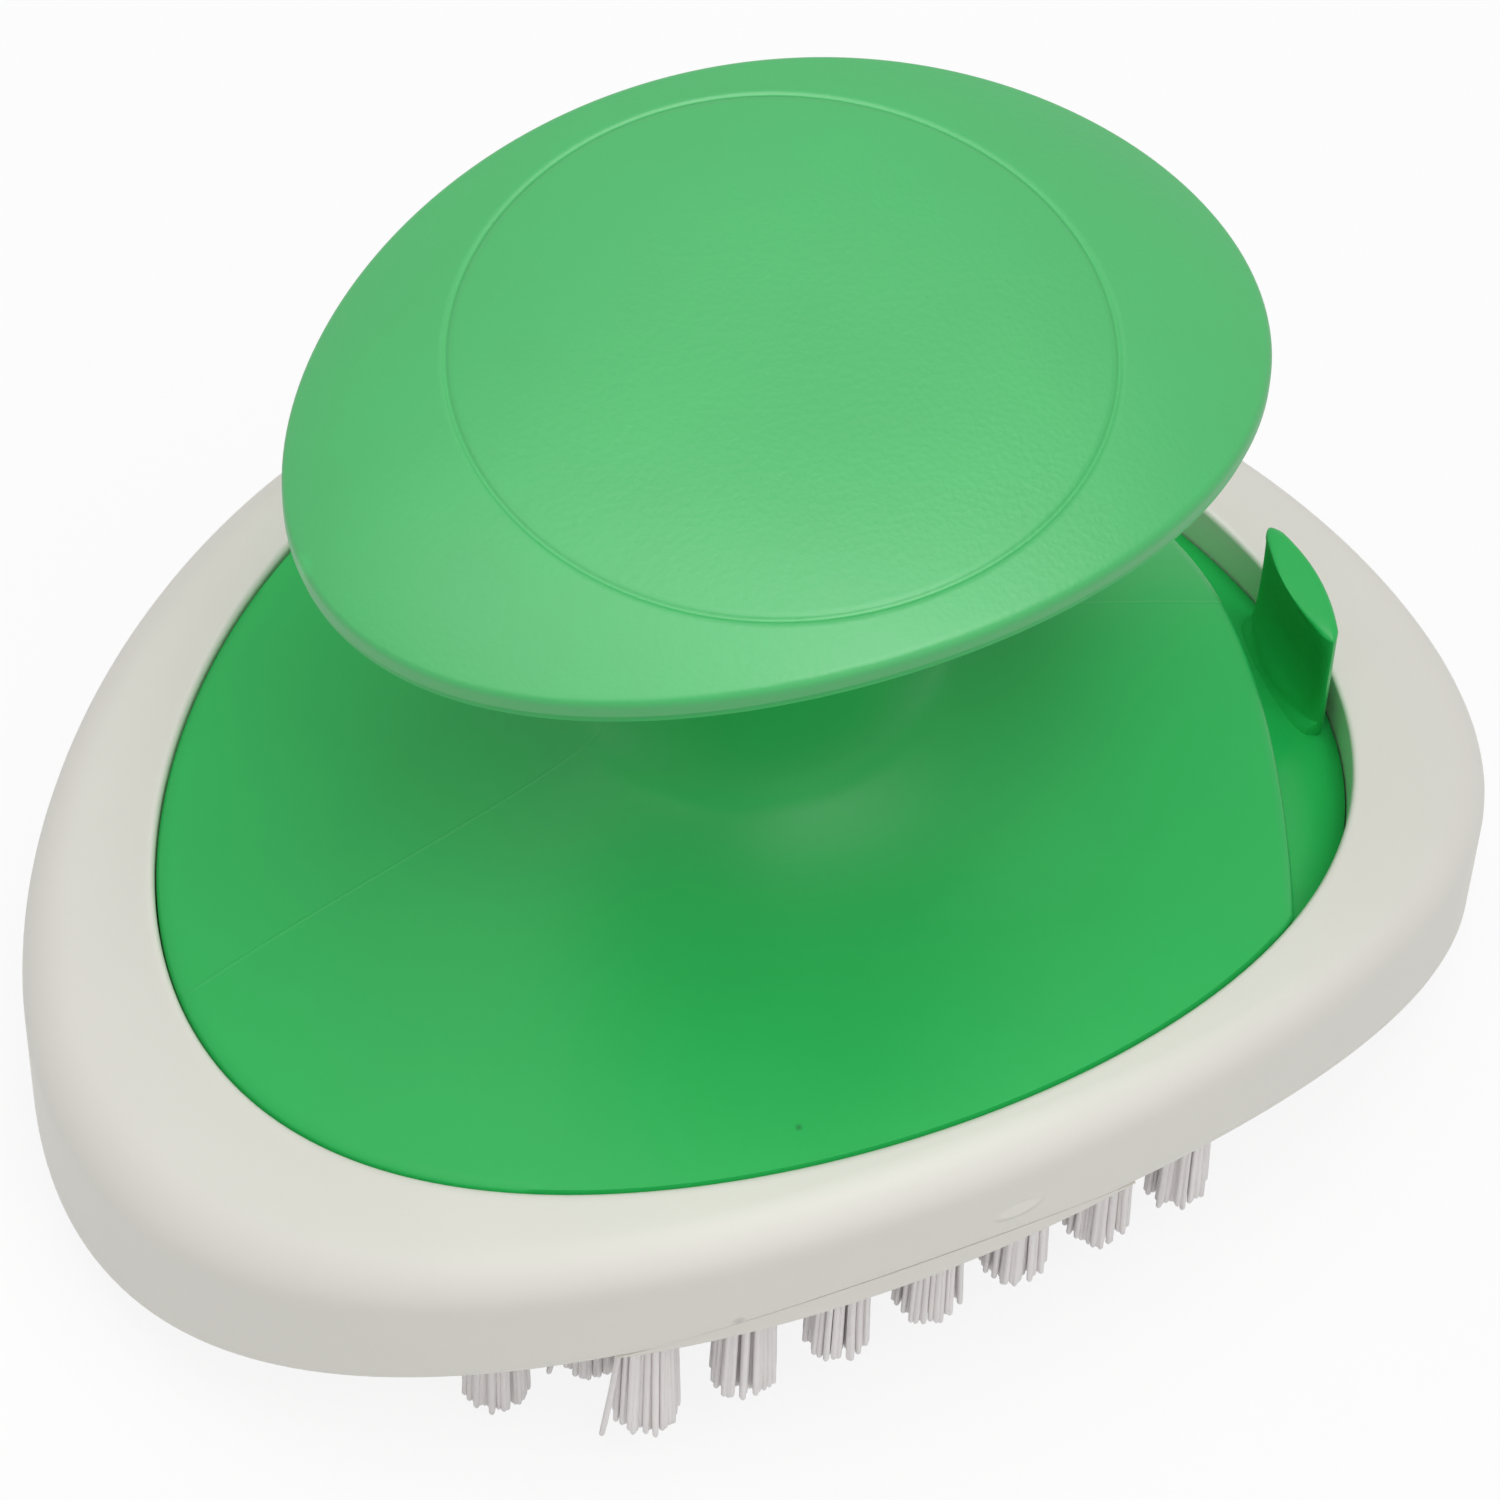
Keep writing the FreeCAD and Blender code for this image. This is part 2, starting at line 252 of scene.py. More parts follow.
def under_arch(x, up=0.0):
    """The height of the plate's arched underside, or of the arch that runs above it."""
    return under_crown + up - arch_drop(x, UNDER_ARCH + up)


def lip_share(x):
    """1 at the middle of the plate's lip, 0 at its ends and beyond them."""
    away = (x - LIP_CENTRE) / (LIP_HALF_LENGTH + LIP_SEAM)
    return max(0.0, 1 - away * away)


def lower_edge(x):
    """The frame's lower edge, which gives way to the plate's lip at the middle of a side."""
    return under_arch(x) + (LIP_HEIGHT + LIP_SEAM) * lip_share(x)


def flare(x, y, half_length, half_width):
    """A trumpet shape that rises towards the middle and is 0 at the outline."""
    square = (x / half_length) ** 2 + (y / half_width) ** 2
    soft = PEAK_SOFTNESS ** 2
    return 1 / math.sqrt(square + soft) - 1 / math.sqrt(1 + soft)


def ease(share):
    """A smooth step from 0 to 1."""
    share = min(1.0, max(0.0, share))
    return share * share * (3 - 2 * share)


def skirt_height(x, y):
    """The skirt, which sweeps up to the neck and has a nose towards the latch."""
    sweep = SKIRT_FLARE * flare(x, y, HOLE[0] - SKIRT_CLEARANCE, HOLE[1] - SKIRT_CLEARANCE)
    nose = NOSE_RISE * ease(x / NOSE_RUN) * ease(1 - abs(y) / NOSE_HALF_WIDTH)
    return top_arch(x) - SKIRT_STEP + sweep + nose


def cap_rim_height(x):
    """The cap's arched rim."""
    return frame_crown + CAP_RIM - (x - CAP_ARCH_CENTRE) ** 2 / (2 * CAP_ARCH)


def cap_height(x, y):
    """The cap's dome, from its apex out to the rim."""
    share = math.hypot(x / CAP[0], y / CAP[1])
    apex = frame_crown + CAP_APEX
    if share == 0:
        return apex
    return apex - (apex - cap_rim_height(x / share)) * share ** CAP_FULLNESS


def flange_under(x, y):
    """The underside of the flange, which sweeps down to the neck."""
    edge = cap_rim_height(x) - CAP_WALL - FLANGE_EDGE
    return edge - FLANGE_FLARE * flare(x, y, CAP[0], CAP[1])


def turns():
    """The angles of the columns round a skin."""
    return [2 * math.pi * step / COLUMNS for step in range(COLUMNS)]


def skin(name, rings, closed=False):
    """A smooth closed piece through rings of points, given in millimetres."""
    count = len(rings[0])
    shift = Vector((-BASE_CENTRE, 0, 0))
    points = [(Vector(point) + shift) * MM for ring in rings for point in ring]
    faces = []
    last = len(rings) if closed else len(rings) - 1
    for low in range(last):
        high = (low + 1) % len(rings)
        for step in range(count):
            nxt = (step + 1) % count
            faces.append((low * count + step, low * count + nxt, high * count + nxt, high * count + step))
    if not closed:
        for ring, start in ((rings[0], 0), (rings[-1], (len(rings) - 1) * count)):
            middle = sum((Vector(point) for point in ring), Vector()) / count
            points.append((middle + shift) * MM)
            faces += [(start + step, start + (step + 1) % count, len(points) - 1) for step in range(count)]
    mesh = bpy.data.meshes.new(name)
    mesh.from_pydata(points, [], faces)
    tidy = bmesh.new()
    tidy.from_mesh(mesh)
    bmesh.ops.remove_doubles(tidy, verts=tidy.verts, dist=WELD)
    bmesh.ops.dissolve_degenerate(tidy, edges=tidy.edges, dist=WELD)
    bmesh.ops.recalc_face_normals(tidy, faces=tidy.faces)
    tidy.to_mesh(mesh)
    tidy.free()
    mesh.polygons.foreach_set("use_smooth", [True] * len(mesh.polygons))
    mesh.set_sharp_from_angle(angle=SHARP_ANGLE)
    piece = bpy.data.objects.new(name, mesh)
    scene.collection.objects.link(piece)
    return piece


def quarter(count):
    """Angles of a quarter turn."""
    return spread(0.0, math.pi / 2, count)


def frame_section():
    """The ring's section as way in, height and edge: millimetres at an edge, shares between two."""
    section = []
    for a in quarter(4):
        section.append((LOWER_ROUND * (1 - math.sin(a)), LOWER_ROUND * (1 - math.cos(a)), "low"))
    section += [(0.0, share, "wall") for share in spread(0.08, 0.92, 8)]
    for a in quarter(9):
        section.append((OUTER_ROUND * (1 - math.cos(a)), OUTER_ROUND * (math.sin(a) - 1), "top"))
    section += [(share, 0.0, "band") for share in spread(0.08, 0.92, 7)]
    for a in quarter(6):
        section.append((INNER_ROUND * (1 - math.sin(a)), INNER_ROUND * (math.cos(a) - 1), "inner"))
    section += [(0.0, 0.0, "seat"), (FRAME_WALL, 0.0, "seat"), (FRAME_WALL, -FRAME_TOP, "inner")]
    section += [(FRAME_WALL, -FRAME_TOP, "top"), (FRAME_WALL, 0.0, "low")]
    return section


def frame_point(turn, way, height, edge):
    """A point of the ring's section at one angle. The lower edge is sharper along the plate's lip."""
    outer = Vector(egg(BASE, turn)) + Vector((BASE_CENTRE, 0))
    inner = Vector(egg(HOLE, turn))
    band = (inner - outer).length
    inward = (inner - outer) / band
    if edge == "band":
        way = OUTER_ROUND + (band - OUTER_ROUND - INNER_ROUND) * way
    elif edge in ("inner", "seat"):
        way = band - way
    if edge == "low":
        x = outer.x + inward.x * way
        sharp = 1 - (1 - LIP_ROUND / LOWER_ROUND) * ease(lip_share(x) * 4)
        way = way * sharp if way < FRAME_WALL else way
        height *= sharp
    x, y = outer + inward * way
    if edge == "low":
        return x, y, lower_edge(x) + height
    if edge == "seat":
        return x, y, under_arch(x, PLATE_THICKNESS + SEAT_GAP)
    if edge == "wall":
        low = lower_edge(x) + LOWER_ROUND
        return x, y, low + (top_arch(x) - OUTER_ROUND - low) * height
    return x, y, top_arch(x) + height


def make_frame():
    rings = [[frame_point(turn, *place) for turn in turns()] for place in frame_section()]
    return skin("frame_shell", rings, closed=True)


def crease_share(turn):
    """The share of the way out at which the pocket's wall stands, 1 where there is no pocket."""
    x, y = egg(HOLE, turn, inset=SKIRT_CLEARANCE)
    centre = CREASE_REACH - CREASE_RADIUS
    square = x * x + y * y
    along = x * centre
    share = (along + math.sqrt(along * along + square * (CREASE_RADIUS ** 2 - centre ** 2))) / square
    return min(1.0, share)


def bezier(points, share):
    """A point of a curve with four control points."""
    a, b, c, d = points
    rest = 1 - share
    return a * rest ** 3 + b * 3 * rest * rest * share + c * 3 * rest * share * share + d * share ** 3


def skirt_point(turn, share):
    """A point of the skirt, at a share of the way out."""
    x, y = egg(HOLE, turn, share, SKIRT_CLEARANCE)
    return Vector((x, y, skirt_height(x, y)))


def flange_point(turn, share):
    """A point under the flange, at a share of the way out."""
    x, y = egg(CAP, turn, share, FLANGE_RECESS)
    return Vector((x, y, flange_under(x, y)))


def handle_column(turn):
    """One line of points up the handle: pocket, skirt, neck and the flange under the cap."""
    crease = crease_share(turn)
    line = []
    for share in (0.4, 1.0):
        x, y = egg(HOLE, turn, share, SKIRT_CLEARANCE)
        line.append((x, y, under_arch(x, PLATE_THICKNESS + SEAT_GAP)))
    floor_from = min(1.0, crease + POCKET_FILLET / HOLE[0])
    for share in spread(1.0, floor_from, 9):
        x, y = egg(HOLE, turn, share, SKIRT_CLEARANCE)
        line.append((x, y, top_arch(x) - POCKET_DEPTH))
    x, y = egg(HOLE, turn, crease, SKIRT_CLEARANCE)
    top = skirt_height(x, y)
    floor = top_arch(x) - POCKET_DEPTH
    wall_low = floor + POCKET_FILLET
    for z in (wall_low, wall_low + POCKET_FILLET, (floor + top) / 2, top - 0.6, top - SKIRT_EDGE):
        line.append((x, y, z))
    edge = crease - SKIRT_EDGE / HOLE[0]
    line += [tuple(skirt_point(turn, share)) for share in spread(edge, NECK_LOW, 40)]
    start, end = skirt_point(turn, NECK_LOW), flange_point(turn, NECK_HIGH)
    rise = (skirt_point(turn, NECK_LOW - NECK_STEP) - start).normalized() * NECK_PULL
    fall = (flange_point(turn, NECK_HIGH - NECK_STEP) - end).normalized() * NECK_PULL
    neck = (start, start + rise, end + fall, end)
    line += [tuple(bezier(neck, share)) for share in spread(0.06, 0.94, 15)]
    line += [tuple(flange_point(turn, share)) for share in spread(NECK_HIGH, 0.985, 24)]
    x, y = egg(CAP, turn, 1.0, FLANGE_RECESS)
    low = flange_under(x, y)
    line += [(x, y, low + FLANGE_BEVEL), (x, y, low + FLANGE_EDGE - SEAT_GAP)]
    for share in (0.9, 0.7, 0.4):
        x, y = egg(CAP, turn, share, FLANGE_RECESS)
        line.append((x, y, cap_height(x, y) - CAP_WALL - SEAT_GAP))
    return line


def make_handle():
    lines = [handle_column(turn) for turn in turns()]
    return skin("handle_skin", [list(ring) for ring in zip(*lines)])


def cap_column(turn):
    """One line of points over the cap, from its middle to its edge and back under it."""
    cosine, sine = math.cos(turn), math.sin(turn)
    rim = 1 / math.hypot(cosine / CAP[0], sine / CAP[1])
    line = []

    def add(reach, drop=0.0):
        x, y = reach * cosine, reach * sine
        line.append((x, y, cap_height(x, y) - drop))

    half = RING_WIDTH / 2
    for reach in spread(CAP_MIDDLE, RING_RADIUS - 3 * half, 22):
        add(reach)
    for away, depth in RING_PROFILE:
        add(RING_RADIUS + away * half, depth * RING_DEPTH)
    edge = cap_height(rim * cosine, rim * sine)
    near = rim - SLOPE_STEP
    slope = math.atan((cap_height(near * cosine, near * sine) - edge) / SLOPE_STEP)
    roll = CAP_EDGE_ROUND
    start = rim - roll * (1 - math.sin(slope))
    for reach in spread(RING_RADIUS + 3 * half, start, 26):
        add(reach)
    centre = edge + roll * (math.tan(slope) - 1 / math.cos(slope))
    for a in spread(slope, math.pi / 2, 8)[1:]:
        reach = rim - roll + roll * math.sin(a)
        line.append((reach * cosine, reach * sine, centre + roll * math.cos(a)))
    low = edge - CAP_WALL
    inset = rim - CAP_LOWER_EDGE
    line.append((rim * cosine, rim * sine, low + CAP_LOWER_EDGE))
    line.append((inset * cosine, inset * sine, low))
    for share in (0.97, 0.9, 0.8, 0.6, 0.4, 0.2):
        add(rim * share, CAP_WALL)
    return line


def make_cap():
    lines = [cap_column(turn) for turn in turns()]
    return skin("cap_shell", [list(ring) for ring in zip(*lines)])


def tab_ring(height, shrink=1.0):
    """The latch tab's outline at one height: a lens that is scooped towards the neck, on a round foot."""
    rise = (height - pivot_z) / (tab_top - pivot_z)
    scooped = min(1.0, max(0.0, (rise - SCOOP_START) / (1 - SCOOP_START)))
    belly = TAB_BELLY - SCOOP_DEPTH * math.sin(math.pi * scooped) ** SCOOP_SHAPE
    bar = math.sqrt(max(0.0, FOOT_RADIUS ** 2 - (height - pivot_z) ** 2))
    fillet = FOOT_FILLET * max(0.0, 1 - (height - pivot_z) / (3 * FOOT_RADIUS))
    points = []
    for step in range(2 * TAB_STEPS):
        turn = math.pi * step / TAB_STEPS
        bow = math.sin(turn) ** 2
        thick = TAB_EDGE / 2 * min(1.0, 2 * abs(math.sin(turn)))
        end = math.sqrt(abs(math.sin(turn)))
        if rise < 0:
            x = pivot_x + bar * end if step <= TAB_STEPS else pivot_x - bar * end
        elif step <= TAB_STEPS:
            x = tab_middle + thick + TAB_BULGE * bow
        else:
            toe = (tab_middle - pivot_x + bar) * end * math.sqrt(bar / FOOT_RADIUS)
            blade = thick + belly * bow
            x = tab_middle - (toe + blade + math.hypot(toe - blade, fillet * end)) / 2
        middle = tab_middle + (TAB_BULGE - belly) * bow / 2
        points.append((middle + (x - middle) * shrink, TAB_HALF_WIDTH * shrink * math.cos(turn), height))
    return points


def make_tab():
    """The latch from below its foot up to its rounded top."""
    shoulder = tab_top - TAB_TOP_ROUND
    rings = [tab_ring(pivot_z + FOOT_RADIUS * math.sin(a)) for a in spread(-1.45, 1.5, 24)]
    rings += [tab_ring(z) for z in spread(pivot_z + FOOT_RADIUS + 0.02, shoulder, 26)]
    for a in quarter(6)[1:-1]:
        shrink = 1 - TAB_TOP_INSET * (1 - math.cos(a))
        rings.append(tab_ring(shoulder + TAB_TOP_ROUND * math.sin(a), shrink))
    rings.append(tab_ring(tab_top, TAB_TOP_SHARE))
    return skin("latch_skin", rings)


class Wire:
    """A node's output that can be used in a sum."""

    def __init__(self, graph, socket):
        self.graph = graph
        self.socket = socket

    def also(self, name):
        """Another output of the same node."""
        return Wire(self.graph, self.graph.find(self.socket.node.outputs, name))

    def math(self, operation, first, second=0.0):
        return self.graph.node("ShaderNodeMath", {"operation": operation}, {0: first, 1: second})

    def __add__(self, other):
        return self.math("ADD", self, other)

    def __radd__(self, other):
        return self.math("ADD", other, self)

    def __sub__(self, other):
        return self.math("SUBTRACT", self, other)

    def __rsub__(self, other):
        return self.math("SUBTRACT", other, self)

    def __mul__(self, other):
        return self.math("MULTIPLY", self, other)

    def __rmul__(self, other):
        return self.math("MULTIPLY", other, self)

    def __truediv__(self, other):
        return self.math("DIVIDE", self, other)

    def __pow__(self, other):
        return self.math("POWER", self, other)

    def __gt__(self, other):
        return self.math("GREATER_THAN", self, other)

    def __lt__(self, other):
        return self.math("LESS_THAN", self, other)

    def __abs__(self):
        return self.math("ABSOLUTE", self)

    def wave(self, name):
        """The sine or the cosine of the value."""
        return self.math(name, self)


class Graph:
    """A node tree with one way to add a node."""

    def __init__(self, tree):
        self.tree = tree
        tree.nodes.clear()

    def find(self, sockets, key):
        if isinstance(key, int):
            return sockets[key]
        for socket in sockets:
            if socket.identifier == key or (socket.name == key and socket.enabled):
                return socket
        raise KeyError(key)

    def node(self, kind, settings=None, inputs=None, out=0):
        made = self.tree.nodes.new(kind)
        for key, value in (settings or {}).items():
            setattr(made, key, value)
        for key, value in (inputs or {}).items():
            socket = self.find(made.inputs, key)
            if isinstance(value, Wire):
                self.tree.links.new(value.socket, socket)
            else:
                socket.default_value = value
        return Wire(self, self.find(made.outputs, out)) if made.outputs else made


class Finish(Graph):
    """A material that is built round one plastic or metal surface."""

    def __init__(self, name):
        self.material = bpy.data.materials.new(name)
        self.material.use_nodes = True
        super().__init__(self.material.node_tree)
        self.place = self.node("ShaderNodeTexCoord", out="Object")
        split = self.node("ShaderNodeSeparateXYZ", inputs={0: self.place})
        self.x, self.y, self.z = split, split.also("Y"), split.also("Z")

    def noise(self, size_mm, detail=2.0, rough=0.5):
        values = {"Vector": self.place, "Scale": 1 / (size_mm * MM), "Detail": detail, "Roughness": rough}
        return self.node("ShaderNodeTexNoise", inputs=values, out="Fac")

    def cells(self, size_mm):
        values = {"Vector": self.place, "Scale": 1 / (size_mm * MM)}
        return self.node("ShaderNodeTexVoronoi", inputs=values, out="Distance")

    def mix(self, factor, first, second):
        values = {"Factor_Float": factor, "A_Color": first, "B_Color": second}
        return self.node("ShaderNodeMix", {"data_type": "RGBA"}, values, out="Result_Color")

    def bump(self, height, distance_mm, strength=1.0, normal=None):
        values = {"Height": height, "Distance": distance_mm * MM, "Strength": strength}
        if normal:
            values["Normal"] = normal
        return self.node("ShaderNodeBump", inputs=values)

    def spot(self, place_mm, size_mm):
        """1 at a place of the brush, falling to 0 a little way from it."""
        place = tuple(value * MM for value in place_mm)
        ends = {0: self.place, 1: place}
        away = self.node("ShaderNodeVectorMath", {"operation": "DISTANCE"}, ends, out="Value")
        return self.clamp(1.0 - away / (size_mm * MM))

    def clamp(self, value):
        return self.node("ShaderNodeClamp", inputs={"Value": value})

    def surface(self, colour, roughness, normal=None, fixed=None):
        values = {"Base Color": colour, "Roughness": roughness, "IOR": 1.5}
        if normal:
            values["Normal"] = normal
        values.update(fixed or {})
        shader = self.node("ShaderNodeBsdfPrincipled", inputs=values)
        self.node("ShaderNodeOutputMaterial", inputs={"Surface": shader})
        return self.material


def linear(red, green, blue):
    """A colour as a screen shows it, 0 to 255, in linear light."""
    def channel(value):
        value /= 255
        return value / 12.92 if value <= 0.04045 else ((value + 0.055) / 1.055) ** 2.4

    return channel(red), channel(green), channel(blue), 1.0


def shade(colour, factor):
    """A colour made darker or lighter."""
    return linear(*(min(255, channel * factor) for channel in colour))


def cap_plastic():
    """Satin green with a fine leather grain, a little rubbed at one place of the rim."""
    fin = Finish("cap_green_satin")
    cloud = fin.noise(9.0, 4.0)
    grain = fin.noise(0.5, 3.0, 0.6)
    scuff = fin.spot(RIM_SCUFF, 1.2) * fin.noise(0.3)
    colour = fin.mix(cloud, shade(CAP_GREEN, 0.97), shade(CAP_GREEN, 1.03))
    colour = fin.mix(scuff, colour, shade(CAP_GREEN, 1.25))
    normal = fin.bump(grain * 0.6 + fin.cells(0.45) * 0.4, 0.05, 0.5)
    return fin.surface(colour, 0.4 + cloud * 0.08, normal, {"Specular IOR Level": 1.0})


def body_plastic():
    """Smooth satin green with the mould's parting line along its middle."""
    fin = Finish("body_green_satin")
    cloud = fin.noise(12.0, 4.0)
    seam = fin.clamp(1.0 - abs(fin.y) / (SEAM_WIDTH * MM)) * (fin.x < CREASE_REACH * MM)
    speck = fin.spot(DARK_SPECK, 0.3)
    colour = fin.mix(cloud, shade(BODY_GREEN, 0.97), shade(BODY_GREEN, 1.03))
    colour = fin.mix(speck * 0.7, colour, shade(BODY_GREEN, 0.5))
    normal = fin.bump(fin.noise(0.3, 3.0, 0.6), 0.015, 0.25)
    normal = fin.bump(seam, 0.04, 0.6, normal)
    return fin.surface(colour, 0.36 + cloud * 0.08, normal, {"Specular IOR Level": 0.42})


def frame_plastic():
    """Warm matte white with the mould's gate, and a pin dimple on the front wall that is pressed in and
    darkened with painted shade.
    """
    fin = Finish("frame_white_matte")
    cloud = fin.noise(14.0, 4.0)
    across = (fin.x - GATE_PLACE[0] * MM) / (GATE_SIZE[0] * MM)
    upward = (fin.z - GATE_PLACE[1] * MM) / (GATE_SIZE[1] * MM)
    gate = fin.clamp(2.0 - 2.0 * (across * across + upward * upward)) * (fin.y < 0.0)
    pin_dimple_and_shade = fin.spot(PIN_DIMPLE_AND_SHADE, 0.45)
    colour = fin.mix(cloud, shade(FRAME_WHITE, 0.985), shade(FRAME_WHITE, 1.01))
    # Painted shade: the pin dimple is darkened in colour, besides being pressed in by the bump below
    colour = fin.mix(pin_dimple_and_shade * 0.35, colour, shade(FRAME_WHITE, 0.7))
    colour = fin.mix(gate * 0.5, colour, shade(FRAME_WHITE, 1.05))
    normal = fin.bump(fin.noise(0.3, 3.0, 0.6), 0.015, 0.25)
    normal = fin.bump(gate - pin_dimple_and_shade, 0.12, 1.0, normal)
    return fin.surface(colour, 0.42 + cloud * 0.1, normal, {"Specular IOR Level": 0.4})


def nylon():
    """Pale nylon, a little different from filament to filament."""
    fin = Finish("bristle_nylon")
    cloud = fin.noise(1.2, 2.0)
    tone = fin.node("ShaderNodeAttribute", {"attribute_name": "tone"}, out="Fac")
    colour = fin.mix(cloud * 0.3 + tone * 0.7, shade(NYLON_WHITE, 0.97), shade(NYLON_WHITE, 1.02))
    return fin.surface(colour, 0.4 + cloud * 0.1)


def wire_steel():
    """The bright wire of the anchors."""
    fin = Finish("anchor_steel")
    cloud = fin.noise(0.8, 3.0)
    colour = fin.mix(cloud, linear(*STEEL_DARK), linear(*STEEL_LIGHT))
    return fin.surface(colour, 0.3 + cloud * 0.15, fixed={"Metallic": 1.0})


def bristle_tree(material):
    """Geometry nodes that grow a flared bundle of filaments from each point of a row."""
    tree = bpy.data.node_groups.new("bristle_row", "GeometryNodeTree")
    tree.is_modifier = True
    inputs = {}

    def socket(name, kind, value=None):
        made = tree.interface.new_socket(name=name, in_out="INPUT", socket_type=kind)
        if value is not None:
            made.default_value = value
        inputs[name] = made.identifier

    socket("Geometry", "NodeSocketGeometry")
    socket("Filaments", "NodeSocketInt", FILAMENTS)
    socket("Tuft Radius", "NodeSocketFloat", TUFT_RADIUS * MM)
    socket("Filament Radius", "NodeSocketFloat", FILAMENT_RADIUS * MM)
    socket("Length", "NodeSocketFloat", (TUFT_REACH + ROOT_DEPTH) * MM)
    socket("Spread", "NodeSocketFloat", TUFT_SPREAD)
    socket("Seed", "NodeSocketInt", 1)
    tree.interface.new_socket(name="Geometry", in_out="OUTPUT", socket_type="NodeSocketGeometry")
    graph = Graph(tree)
    given = graph.node("NodeGroupInput", out="Geometry")

    def vector(x, y, z):
        return graph.node("ShaderNodeCombineXYZ", inputs={0: x, 1: y, 2: z})

    def chance(low, high, offset):
        seed = given.also("Seed") + offset
        values = {"Min_001": low, "Max_001": high, "Seed": seed}
        return graph.node("FunctionNodeRandomValue", {"data_type": "FLOAT"}, values, out="Value_001")

    def store(geometry, name, kind, value):
        values = {"Geometry": geometry, "Name": name, "Value": value}
        return graph.node("GeometryNodeStoreNamedAttribute", {"data_type": kind, "domain": "POINT"}, values)

    def recall(name, kind):
        values = {"Name": name}
        return graph.node("GeometryNodeInputNamedAttribute", {"data_type": kind}, values, out="Attribute")

    points = graph.node("GeometryNodeMeshToPoints", inputs={"Mesh": given})
    bundle = graph.node("GeometryNodeDuplicateElements", {"domain": "POINT"},
                        {"Geometry": points, "Amount": given.also("Filaments")})
    index = bundle.also("Duplicate Index")
    away = ((index + 0.5) / given.also("Filaments")) ** 0.5
    turn = index * GOLDEN_TURN + chance(-TURN_JITTER, TURN_JITTER, 11)
    cosine, sine = turn.wave("COSINE"), turn.wave("SINE")
    reach = away * given.also("Tuft Radius")
    placed = graph.node("GeometryNodeSetPosition", inputs={
        "Geometry": bundle, "Offset": vector(reach * cosine, reach * sine, 0.0)})
    stray = (chance(0.0, 1.0, 23) > STRAY_CHANCE) * (away > STRAY_FROM) * STRAY_LEAN
    lean = given.also("Spread") * away + stray
    sway_x = chance(-SWAY, SWAY, 31) + lean * cosine
    sway_y = chance(-SWAY, SWAY, 37) + lean * sine
    named = store(placed, "sway", "FLOAT_VECTOR", vector(sway_x, sway_y, 0.0))
    toned = store(named, "tone", "FLOAT", chance(0.0, 1.0, 53))

    line = graph.node("GeometryNodeCurvePrimitiveLine", inputs={"Start": (0, 0, 0), "End": (0, 0, -1.0)})
    bent = graph.node("GeometryNodeResampleCurve", inputs={"Curve": line, "Count": FILAMENT_POINTS})
    point = graph.node("GeometryNodeInputIndex")
    last = FILAMENT_POINTS - 1
    along = 1.0 - (1.0 - point / last) ** TIP_CROWDING
    drawn = graph.node("GeometryNodeSetPosition", inputs={
        "Geometry": bent, "Position": vector(0.0, 0.0, along * given.also("Length") * -1.0)})
    rounded = graph.node("GeometryNodeSetCurveRadius", inputs={
        "Curve": drawn, "Radius": 1.0 - 0.1 * (point > last - 1.5) - 0.4 * (point > last - 0.5)})
    marked = store(rounded, "along", "FLOAT", along)
    round_section = graph.node("GeometryNodeCurvePrimitiveCircle", inputs={
        "Resolution": FILAMENT_SIDES, "Radius": given.also("Filament Radius")})
    filament = graph.node("GeometryNodeCurveToMesh", inputs={
        "Curve": marked, "Profile Curve": round_section, "Fill Caps": True,
        "Scale": graph.node("GeometryNodeInputRadius")})
    size = vector(1.0, 1.0, chance(SHORTEST, 1.0, 41))
    placed_all = graph.node("GeometryNodeInstanceOnPoints", inputs={
        "Points": toned, "Instance": filament, "Scale": size})
    real = graph.node("GeometryNodeRealizeInstances", inputs={"Geometry": placed_all})
    way = recall("along", "FLOAT")
    sway = recall("sway", "FLOAT_VECTOR")
    scale = way * (0.5 + 0.5 * way) * given.also("Length")
    offset = graph.node("ShaderNodeVectorMath", {"operation": "SCALE"}, {0: sway, "Scale": scale})
    bowed = graph.node("GeometryNodeSetPosition", inputs={"Geometry": real, "Offset": offset})
    smooth = graph.node("GeometryNodeSetShadeSmooth", inputs={"Geometry": bowed})
    dressed = graph.node("GeometryNodeSetMaterial", inputs={"Geometry": smooth, "Material": material})
    graph.node("NodeGroupOutput", inputs={"Geometry": dressed})
    return tree, inputs


def make_bristles(number, row, tree, inputs):
    """One row of tufts as a plain mesh of filaments."""
    roots = [((x - BASE_CENTRE) * MM, y * MM, (under_arch(x) + ROOT_DEPTH) * MM) for x, y in row]
    seed_mesh = bpy.data.meshes.new("roots_%02d" % number)
    seed_mesh.from_pydata(roots, [], [])
    grower = bpy.data.objects.new("grower_%02d" % number, seed_mesh)
    scene.collection.objects.link(grower)
    modifier = grower.modifiers.new("bristles", "NODES")
    modifier.node_group = tree
    modifier[inputs["Seed"]] = 100 * number
    grown = grower.evaluated_get(bpy.context.evaluated_depsgraph_get())
    mesh = bpy.data.meshes.new_from_object(grown)
    grower.modifiers.clear()
    bpy.data.objects.remove(grower)
    piece = bpy.data.objects.new("bristles_row_%02d" % number, mesh)
    scene.collection.objects.link(piece)
    return piece


def dress(piece, material, body, slot, *nodes):
    """Gives a piece its finish and its place in the brush."""
    piece.data.materials.clear()
    piece.data.materials.append(material)
    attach(piece, body)
    if nodes:
        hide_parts(*nodes)


